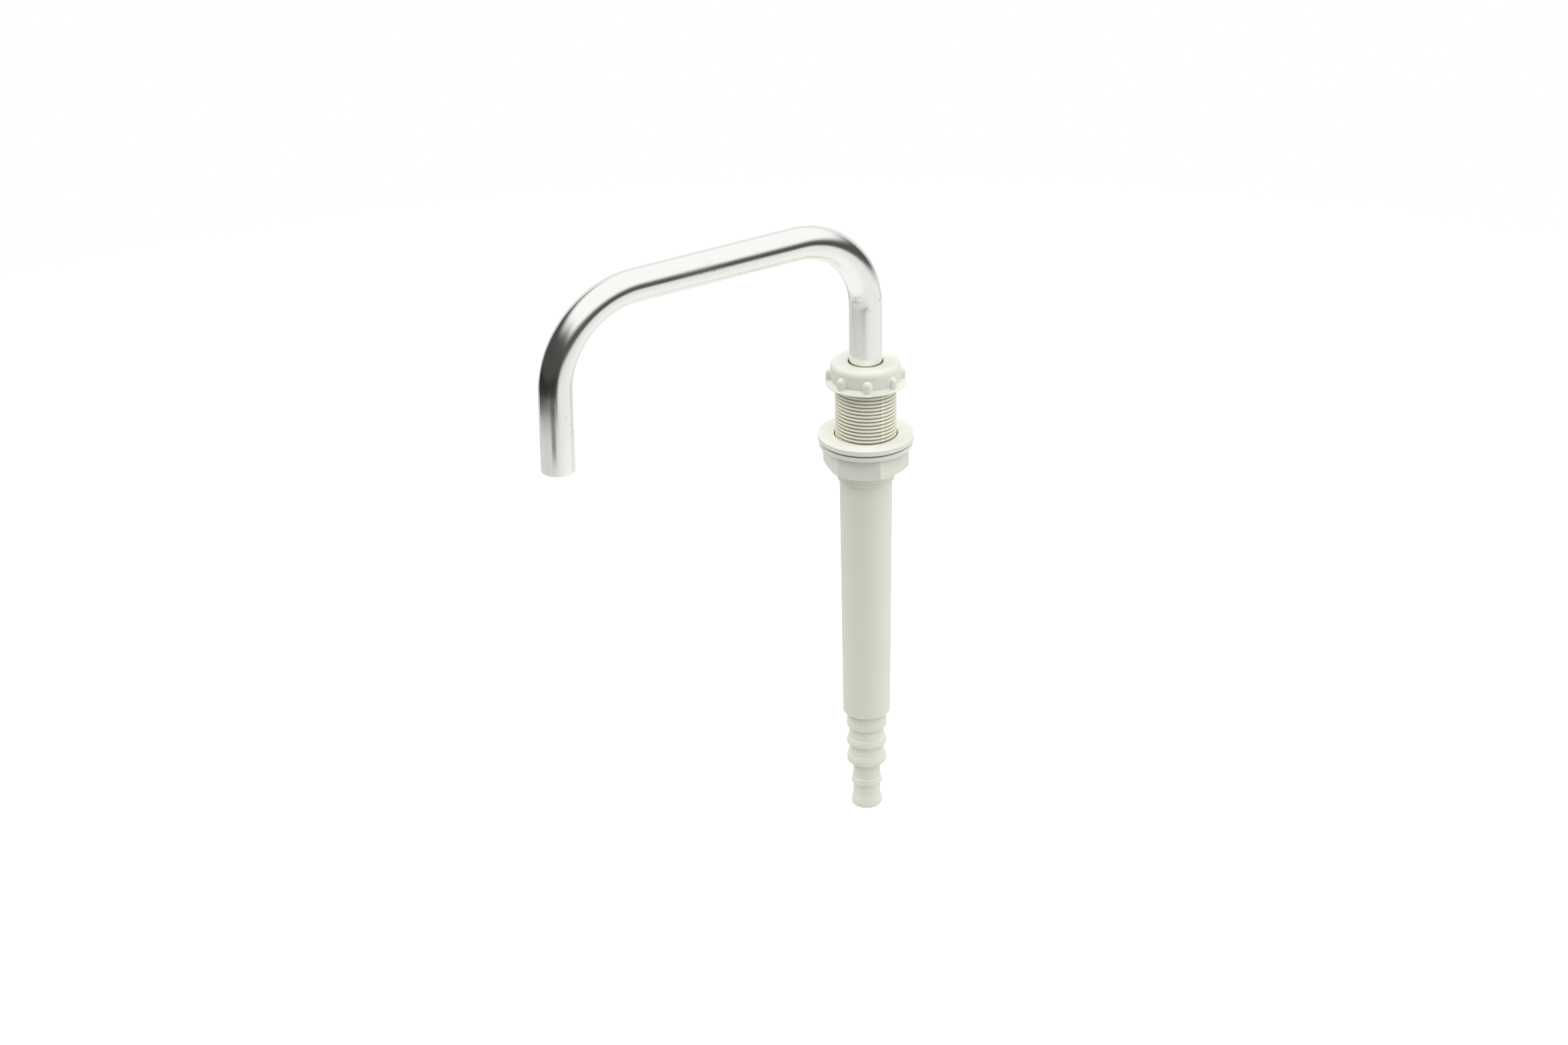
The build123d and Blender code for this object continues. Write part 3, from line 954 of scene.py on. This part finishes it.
def hose_barb(bottom, edge, land):
    """The corners of a barb for the larger hose, from its upper neck down to its lower edge."""
    return [
        (LARGE_NECK, bottom + land + 4.0, 1.5),
        (7.25, bottom + land + 1.6, 0.1),
        (7.55, bottom + land + 1.6, 0.1),
        (LARGE_CREST, bottom + land, 0.5),
        (LARGE_CREST, bottom, edge),
        (LARGE_NECK, bottom, 0.2),
    ]


casing_tube = turned(
    "casing_tube",
    [
        (7.6, -20.05, 0.2),
        (9.25, -20.05, 0.3),
        (9.25, -38.85, 0),
        (COLLAR_RADIUS, -38.85, 0.18),
        (COLLAR_RADIUS, -40.5, 0.25),
        (10.28, -40.5, 0.2),
        (9.42, -143.0, 0.4),
        (7.7, -143.0, 0.3),
        (LARGE_CREST, -148.55, 0.3),
        (LARGE_CREST, -149.65, 0.22),
        (LARGE_NECK, -149.65, 0.2),
        *hose_barb(-157.3, 0.22, 1.1),
        *hose_barb(-166.1, 1.45, 2.55)[:-1],
        (SMALL_NECK, -166.1, 0.2),
        (SMALL_NECK, -172.75, 0.1),
        (5.88, -172.75, 0.1),
        (SMALL_CREST, -174.65, 0.3),
        (SMALL_CREST, -175.4, 0.2),
        (SMALL_NECK, -175.4, 0.2),
        (SMALL_NECK, -180.35, 1.2),
        (SMALL_CREST, -182.95, 0.6),
        (SMALL_CREST, -185.9, 1.45),
        (3.7, -185.9, 0.25),
        (3.7, -164.6, 0),
        (4.9, -162.6, 0),
        (4.9, -139.5, 0),
        (7.6, -139.5, 0),
    ],
    casing_white,
)

# %% Add the gate mark and join the casing
GATE_ANGLE = radians(-36.3)
GATE_HEIGHT = -39.6
GATE_OUT = COLLAR_RADIUS - 0.05
gate_corners = [
    (0.02, -0.3, 0), (0.5, -0.3, 0), (0.5, 0.1, 0.06), (0.25, 0.1, 0.05), (0.02, -0.05, 0),
]
gate_outline = rounded(gate_corners, steps=3, support=0.02)
gate_mesh = swept_mesh("gate", lambda angle: gate_outline, full_turn(24), True)
to_collar = Matrix.Translation(Vector((GATE_OUT, 0, GATE_HEIGHT)) * MM)
seat_gate = Matrix.Rotation(GATE_ANGLE, 4, "Z") @ to_collar
gate_mesh.transform(seat_gate @ Matrix.Rotation(pi / 2, 4, "Y"))
gate_mark = add_piece("gate_mark", gate_mesh, casing_white)
casing = joined("casing_tube", [casing_tube, gate_mark])

# %% Scorch the plastic in the gate
SCORCH = (0.26, 0.22, 0.13, 1)
SCORCH_EDGE = 0.36 * MM, 0.2 * MM
tree = casing_white.node_tree
shader = tree.nodes["Principled BSDF"]
clean = shader.inputs["Base Color"].links[0].from_socket
where = object_place(tree)
from_gate = vectors(tree, "DISTANCE", where, tuple(seat_gate.translation))
scorch = smooth_step(tree, from_gate, *SCORCH_EDGE)
scorched = mix_colours(tree, scorch, clean, SCORCH)
tree.links.new(scorched, shader.inputs["Base Color"])
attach(casing, "shank")
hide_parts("casing")
show_box(casing)

# %% [markdown]
# ## The pieces inside
# The bushes, the thrust ring, the seal and the snap ring are right as they come from the packed
# model, so they stay and only get their finishes.

# %% Finish the inner pieces
inner_finishes = {
    "thrust_ring": bush_natural,
    "gland_bush": bush_natural,
    "guide_bush": bush_natural,
    "gland_seal": rubber,
    "snap_ring": wire,
}
for node, finish in inner_finishes.items():
    for slot in frame["nodes"][node].material_slots:
        slot.material = finish
print("inner pieces:", ", ".join(inner_finishes))

# %% [markdown]
# ## The studio
# The photograph was taken on a light table: white above, white below, and the dark room between
# them, which is the dark line along the spout. The world does the same. What the camera sees
# directly is plain white. What lights the object and shows in the metal is a white sky down to a
# little above the horizon, and a dark room under it, hidden lower down by a pale floor. On the
# left the dark room reaches higher, and at the back it is nearly white, because the dark line
# shifts and thins out there as it goes round the bends.

# %% Build the world
CAMERA_AZIMUTH = radians(57.0)
CAMERA_ELEVATION = radians(25.7)
WHITE = (1, 1, 1, 1)
DARK_ROOM = (0.065, 0.065, 0.062, 1)
SKY_EDGE = (0.2, 0.52)
LEFT_SIDE, LEFT_RISE = (0.1, -0.5), 0.28
BACK_SIDE, BACK_WHITE = (-0.55, -0.85), 0.82
viewer_side = Vector((sin(CAMERA_AZIMUTH), -cos(CAMERA_AZIMUTH), 0))
viewer_right = Vector((cos(CAMERA_AZIMUTH), sin(CAMERA_AZIMUTH), 0))
world = bpy.data.worlds.new("studio")
scene.world = world
world.use_nodes = True
tree = world.node_tree
direction = place(tree, "ShaderNodeTexCoord").outputs["Generated"]
up = place(tree, "ShaderNodeSeparateXYZ", {0: direction}).outputs["Z"]
rightward = vectors(tree, "DOT_PRODUCT", direction, viewer_right)
raised = product(tree, smooth_step(tree, rightward, *LEFT_SIDE), LEFT_RISE)
sky = smooth_step(tree, maths(tree, "SUBTRACT", up, raised), *SKY_EDGE)
towards = vectors(tree, "DOT_PRODUCT", direction, viewer_side)
behind = product(tree, smooth_step(tree, towards, *BACK_SIDE), BACK_WHITE)
room = mix_colours(tree, maths(tree, "MAXIMUM", sky, behind), DARK_ROOM, WHITE)
seen = place(tree, "ShaderNodeLightPath").outputs["Is Camera Ray"]
tree.links.new(mix_colours(tree, seen, room, WHITE), tree.nodes["Background"].inputs["Color"])
print("world:", len(tree.nodes), "nodes")

# %% [markdown]
# The floor is a pale disc that fades out at its edge, so that no line shows where it meets the
# white background. It lies a little below the hose tail, because the faucet hangs in its deck
# hole and stands on nothing. Sizes here are in metres, because they belong to the room.

# %% Lay the floor
FLOOR_HEIGHT = -0.235
FLOOR_RADIUS = 2.6
leg_foot = Vector((0, -REACH * MM, 0))
disc = bmesh.new()
bmesh.ops.create_circle(disc, cap_ends=True, radius=FLOOR_RADIUS, segments=96)
floor_mesh = to_mesh(disc, "floor")
floor_mesh.transform(Matrix.Translation((0, 0, FLOOR_HEIGHT)))
floor = add_object("floor", floor_mesh)
print("floor across, m:", round(floor.dimensions.x, 2))

# %% [markdown]
# The spout mirrors this floor, so the floor's tones are laid out for the metal. The paper has
# fibres. A painted shadow makes it greyer in front and on the left, a little less so close in
# front of the column, and a painted pool of light makes it palest in the middle. Painted black
# shade lies further out in front and on the left, where only the metal shows it, and widens the
# dark line there. Each tone has a soft edge, and is placed by how far a point lies from the
# column, or by how far and in which direction from the free leg.

# %% Find where a point of the floor lies
paper, tree, shader = new_material("pale_paper")
tree.nodes.remove(shader)
where = object_place(tree)
on_floor = vectors(tree, "MULTIPLY", where, (1.0, 1.0, 0.0))
from_column = vectors(tree, "LENGTH", on_floor)
leg_to_point = vectors(tree, "SUBTRACT", on_floor, leg_foot)
from_leg = vectors(tree, "LENGTH", leg_to_point)
ahead = vectors(tree, "DOT_PRODUCT", leg_to_point, viewer_side)
aside = vectors(tree, "DOT_PRODUCT", leg_to_point, viewer_right)
bearing = maths(tree, "ARCTAN2", aside, ahead)
print("free leg, m from the column:", round(leg_foot.length, 4))

# %% Lay out the paper's tones
PAPER = (0.64, 0.64, 0.635, 1), (0.68, 0.68, 0.675, 1)
SHADOWED_PAPER = (0.47, 0.47, 0.458, 1)
LIGHT_POOL_PAPER = (0.72, 0.72, 0.715, 1)
FRONT, LEFT = (-0.9, -0.45), (0.6, -0.3)
NEAR_COLUMN, FAR_FRONT, LESS_SHADOW = (0.70, 0.61), (0.1, 0.35), 0.33
MIDDLE = (0.45, 0.25)
tone = mix_colours(tree, noise(tree, where, scale=300.0, detail=4.0), *PAPER)
# Painted shadow: the paper is greyer in front and on the left, a little less so close in front of
# the column.
painted_shadow = product(tree, smooth_step(tree, ahead, *FRONT), smooth_step(tree, aside, *LEFT))
before_column = product(tree, smooth_step(tree, ahead, *FAR_FRONT), LESS_SHADOW)
before_column = product(tree, smooth_step(tree, from_column, *NEAR_COLUMN), before_column)
painted_shadow = product(tree, painted_shadow, maths(tree, "SUBTRACT", 1.0, before_column))
tone = mix_colours(tree, painted_shadow, tone, SHADOWED_PAPER)
# Painted pool of light: the paper is palest in the middle.
tone = mix_colours(tree, smooth_step(tree, from_column, *MIDDLE), tone, LIGHT_POOL_PAPER)
print("tones so far:", len(tree.nodes), "nodes")

# %% Paint the black shade, and hide it from the camera
BLACK_SHADE = (0.02, 0.02, 0.019, 1)
SHADE_RIGHT = radians(24), radians(8)
SHADE_LEFT = radians(-140), radians(-125)
SHADE_NEAR = (0.7, 0.74)
# Painted shade: a black patch further out in front and on the left, which only reflections show.
right_end = smooth_step(tree, bearing, *SHADE_RIGHT)
sector = product(tree, right_end, smooth_step(tree, bearing, *SHADE_LEFT))
black_shade = product(tree, sector, smooth_step(tree, from_leg, *SHADE_NEAR))
seen = place(tree, "ShaderNodeLightPath").outputs["Is Camera Ray"]
black_shade = product(tree, black_shade, maths(tree, "SUBTRACT", 1.0, seen))
tone = mix_colours(tree, black_shade, tone, BLACK_SHADE)
print("with the cloth:", len(tree.nodes), "nodes")

# %% Fade the edge and finish the floor
EDGE_FADE, SEEN_FADE = (2.0, 2.5), (0.62, 0.86)
SEEN_GLOW = 0.5
seen_edge = product(tree, seen, smooth_step(tree, from_column, *SEEN_FADE))
edge = maths(tree, "MAXIMUM", smooth_step(tree, from_column, *EDGE_FADE), seen_edge)
sheet = place(tree, "ShaderNodeBsdfDiffuse", {"Color": tone}).outputs[0]
strength = product(tree, seen, SEEN_GLOW)
glow = place(tree, "ShaderNodeEmission", {"Strength": strength}).outputs[0]
bright = place(tree, "ShaderNodeAddShader", {0: sheet, 1: glow}).outputs[0]
clear = place(tree, "ShaderNodeBsdfTransparent").outputs[0]
faded = place(tree, "ShaderNodeMixShader", {0: edge, 1: bright, 2: clear}).outputs[0]
tree.links.new(faded, tree.nodes["Material Output"].inputs["Surface"])
floor_mesh.materials.append(paper)
floor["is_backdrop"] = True
print("paper:", len(tree.nodes), "nodes")

# %% [markdown]
# Two dark cards hang in a curve round the free leg. Photographers place such cards to draw a
# dark line into bright metal. The wide one is black and carries the spout's dark line a little
# way down the leg. The near one is narrow and grey and reaches further down in front. Object
# visibility keeps both out of the picture and out of the plain light, so that only reflections
# show them.

# %% Hang the dark cards
CARD_THICKNESS = 2


def hang_card(name, finish, radius, low, high, first, last):
    """A curved card round the free leg, between two heights and two bearings in degrees."""
    back = radius + CARD_THICKNESS
    section = [(radius, low), (back, low), (back, high), (radius, high)]
    angles = [CAMERA_AZIMUTH - pi / 2 + radians(bearing) for bearing in range(first, last + 1, 2)]
    mesh = swept_mesh(name, lambda angle: section, angles, False)
    mesh.materials.append(finish)
    card = add_object(name, mesh)
    card.location = leg_foot
    card.visible_camera = False
    card.visible_diffuse = False
    card.visible_shadow = False
    card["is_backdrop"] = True
    show_box(card)


def felt(name, tone):
    """A matt felt of this grey, with a slight nap."""
    material, tree, shader = new_material(name)
    nap = noise(tree, object_place(tree), scale=700.0, detail=4.0)
    shade = maths(tree, "MULTIPLY_ADD", nap, tone, tone / 2)
    tree.links.new(shade, shader.inputs["Base Color"])
    shader.inputs["Roughness"].default_value = 1.0
    shader.inputs["Specular IOR Level"].default_value = 0.1
    return material


black, grey = felt("black_felt", 0.025), felt("grey_felt", 0.25)
hang_card("wide_card", black, radius=300.0, low=-118.0, high=-75.0, first=-125, last=16)
hang_card("near_card", grey, radius=80.0, low=-43.0, high=-12.0, first=-32, last=-4)

# %% [markdown]
# Three soft lamps shape the object: one high up in front, which makes the tops brighter than
# the sides, one on the right, and the strongest on the left, a little behind the object. They
# light it, but don't show in its metal, where only the white sky and the dark room should. Their
# places are in metres from its middle.

# %% Place the lamps
def soft_lamp(name, place_at, aim, size, power):
    """A square area lamp that faces the point aim."""
    lamp = bpy.data.lights.new(name, "AREA")
    lamp.shape = "SQUARE"
    lamp.size = size
    lamp.energy = power
    holder = add_object(name, lamp)
    holder.visible_glossy = False
    holder.visible_camera = False
    facing = (aim - place_at).to_track_quat("-Z", "Y").to_matrix().to_4x4()
    holder.matrix_world = Matrix.Translation(place_at) @ facing
    print(name, "is", round((aim - place_at).length, 2), "m away")


middle = Vector((0, -0.05, -0.05))
above = middle + viewer_right * 0.35 + viewer_side * 0.85 + Vector((0, 0, 1.05))
beside = middle + viewer_right * 1.15 - viewer_side * 0.3 + Vector((0, 0, 0.6))
opposite = middle - viewer_right * 0.95 - viewer_side * 0.25 + Vector((0, 0, 0.75))
soft_lamp("top_lamp", above, middle, size=1.0, power=5.8)
soft_lamp("right_lamp", beside, middle, size=0.9, power=4.3)
soft_lamp("left_lamp", opposite, middle, size=0.8, power=7.8)

# %% [markdown]
# ## The camera
# The camera's place was worked out from the photograph: a long lens from about a metre and a
# half, looking down at 25.7 degrees, with the spout turned 33 degrees towards it and a roll of
# less than one degree.

# %% Place the camera
FOCAL_PIXELS = 5850.0
IMAGE_WIDTH = 2352.0
DISTANCE = 1.525
ROLL = radians(-0.75)
target = Vector((-17.5, -26.9, -59.8)) * MM
back = viewer_side * cos(CAMERA_ELEVATION) + Vector((0, 0, sin(CAMERA_ELEVATION)))
upward = back.cross(viewer_right)
picture_right = viewer_right * cos(ROLL) + upward * sin(ROLL)
picture_up = upward * cos(ROLL) - viewer_right * sin(ROLL)
lens = bpy.data.cameras.new("camera")
lens.sensor_fit = "HORIZONTAL"
lens.sensor_width = 36.0
lens.lens = FOCAL_PIXELS / IMAGE_WIDTH * lens.sensor_width
lens.clip_start = 0.01
lens.clip_end = 50.0
camera = add_object("camera", lens)
axes = Matrix((picture_right, picture_up, back)).transposed().to_4x4()
camera.matrix_world = Matrix.Translation(target + back * DISTANCE) @ axes
scene.camera = camera
scene.view_settings.view_transform = "Standard"
print("lens, mm:", round(lens.lens, 2))

# %% [markdown]
# ## Print the sizes
# Dressing mustn't change the object's size, so the imported model's box and the dressed model's
# box are printed side by side.

# %% Print the sizes
boxes = {"cad": cad_box, "visual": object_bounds()}
for name, box in boxes.items():
    print(name, "corners, mm:", [[round(value / MM, 2) for value in corner] for corner in box])
